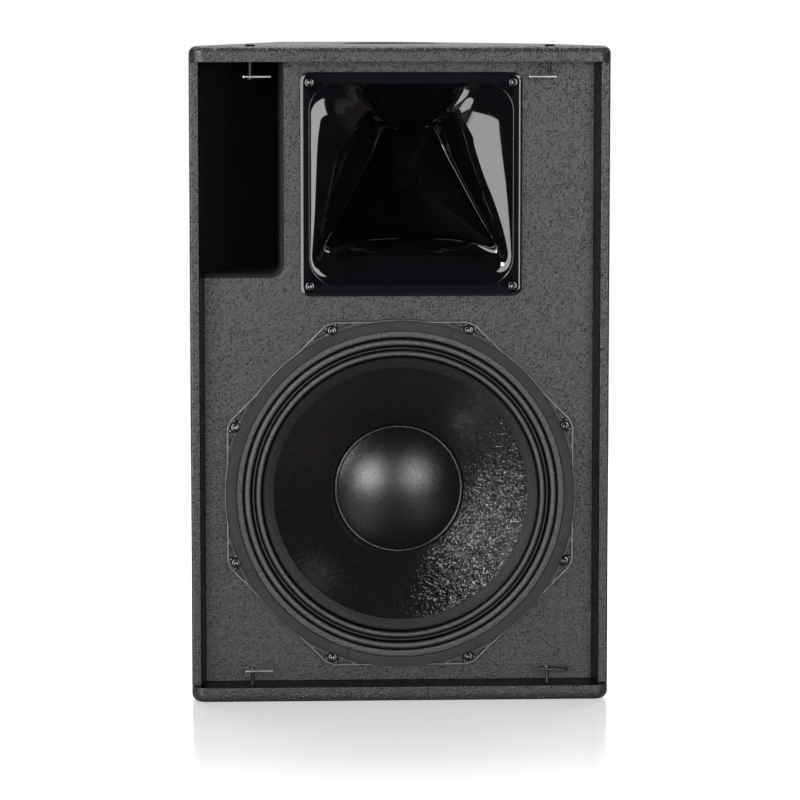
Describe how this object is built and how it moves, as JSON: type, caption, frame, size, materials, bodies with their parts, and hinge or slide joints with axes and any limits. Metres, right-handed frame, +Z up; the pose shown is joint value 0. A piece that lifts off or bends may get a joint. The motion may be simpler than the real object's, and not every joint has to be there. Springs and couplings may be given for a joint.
{
  "type": "pa speaker cabinet",
  "caption": "Two-way loudspeaker cabinet with a cone woofer, a square horn, a slot port in the corner, leaning side walls and a wedge face for lying it down; grille removed.",
  "frame": {"origin": "centre of the bounding box's bottom face, on the floor the cabinet stands on", "axes": "+Z up, -Y out of the front baffle towards the audience, +X to the right as seen from the front"},
  "size_m": [0.434, 0.368, 0.68],
  "materials": {
    "textured_paint": "textured polyurea paint over plywood",
    "plywood": "bare plywood",
    "gloss_black_plastic": "high gloss",
    "cast_grey": "powder-coated casting",
    "gasket_foam": "dense gasket board",
    "treated_cloth": "treated cloth",
    "black_paper": "coated paper",
    "coil_copper": "lacquered winding",
    "ferrite": "matt ferrite",
    "zinc_steel": "zinc plated",
    "black_steel": "black",
    "matte_black_plastic": "matt moulded",
    "circuit_board": "solder mask",
    "grey_foam": "open-cell foam"
  },
  "bodies": {
    "cabinet": {"bottom_panel": "textured_paint", "compression_driver": "black_steel", "crossover_board": "circuit_board", "damping_foam": "grey_foam", "front_baffle": "textured_paint", "grille_stud_bottom_left": "zinc_steel", "grille_stud_bottom_right": "zinc_steel", "grille_stud_top_left": "zinc_steel", "grille_stud_top_right": "zinc_steel", "horn_flare": "gloss_black_plastic", "horn_screw_1": "black_steel", "horn_screw_2": "black_steel", "horn_screw_3": "black_steel", "horn_screw_4": "black_steel", "input_plate": "black_steel", "input_plate_screw_1": "black_steel", "input_plate_screw_2": "black_steel", "input_plate_screw_3": "black_steel", "input_plate_screw_4": "black_steel", "internal_brace": "plywood", "left_side_panel": "textured_paint", "magnet": "ferrite", "motor_top_plate": "black_steel", "pole_socket": "black_steel", "port_floor": "textured_paint", "port_side_wall": "textured_paint", "rear_panel": "textured_paint", "right_side_panel": "textured_paint", "side_handle_left": "matte_black_plastic", "side_handle_right": "matte_black_plastic", "speaker_socket_1": "matte_black_plastic", "speaker_socket_2": "matte_black_plastic", "spider": "treated_cloth", "stud_cap_left": "matte_black_plastic", "stud_cap_right": "matte_black_plastic", "top_panel": "textured_paint", "top_suspension_cup": "black_steel", "wedge_panel": "textured_paint", "woofer_basket": "cast_grey", "woofer_gasket": "gasket_foam", "woofer_screw_1": "black_steel", "woofer_screw_2": "black_steel", "woofer_screw_3": "black_steel", "woofer_screw_4": "black_steel", "woofer_screw_5": "black_steel", "woofer_screw_6": "black_steel", "woofer_screw_7": "black_steel", "woofer_screw_8": "black_steel", "woofer_surround": "treated_cloth", "yoke": "black_steel"},
    "cone_assembly": {"woofer_cone": "black_paper", "dust_cap": "black_paper", "voice_coil": "coil_copper"},
    "clamp_top_left": {"grille_tab_top_left": "zinc_steel"},
    "clamp_top_right": {"grille_tab_top_right": "zinc_steel"},
    "clamp_bottom_left": {"grille_tab_bottom_left": "zinc_steel"},
    "clamp_bottom_right": {"grille_tab_bottom_right": "zinc_steel"}
  },
  "joints": [
    {"name": "cone_travel", "type": "slide", "parent": "cabinet", "child": "cone_assembly", "axis": [0, -1, 0], "range_m": [-0.008, 0.008], "stiffness_N_per_m": 6000, "deforming": ["woofer_surround", "spider"]},
    {"name": "clamp_top_left_turn", "type": "hinge", "parent": "cabinet", "child": "clamp_top_left", "pos_m": [-0.154, -0.166, 0.6487], "axis": [0, 0, 1], "range_deg": [-230, 50]},
    {"name": "clamp_top_right_turn", "type": "hinge", "parent": "cabinet", "child": "clamp_top_right", "pos_m": [0.154, -0.166, 0.6487], "axis": [0, 0, 1], "range_deg": [-50, 230]},
    {"name": "clamp_bottom_left_turn", "type": "hinge", "parent": "cabinet", "child": "clamp_bottom_left", "pos_m": [-0.154, -0.166, 0.0313], "axis": [0, 0, 1], "range_deg": [-230, 50]},
    {"name": "clamp_bottom_right_turn", "type": "hinge", "parent": "cabinet", "child": "clamp_bottom_right", "pos_m": [0.154, -0.166, 0.0313], "axis": [0, 0, 1], "range_deg": [-208, 72]}
  ]
}
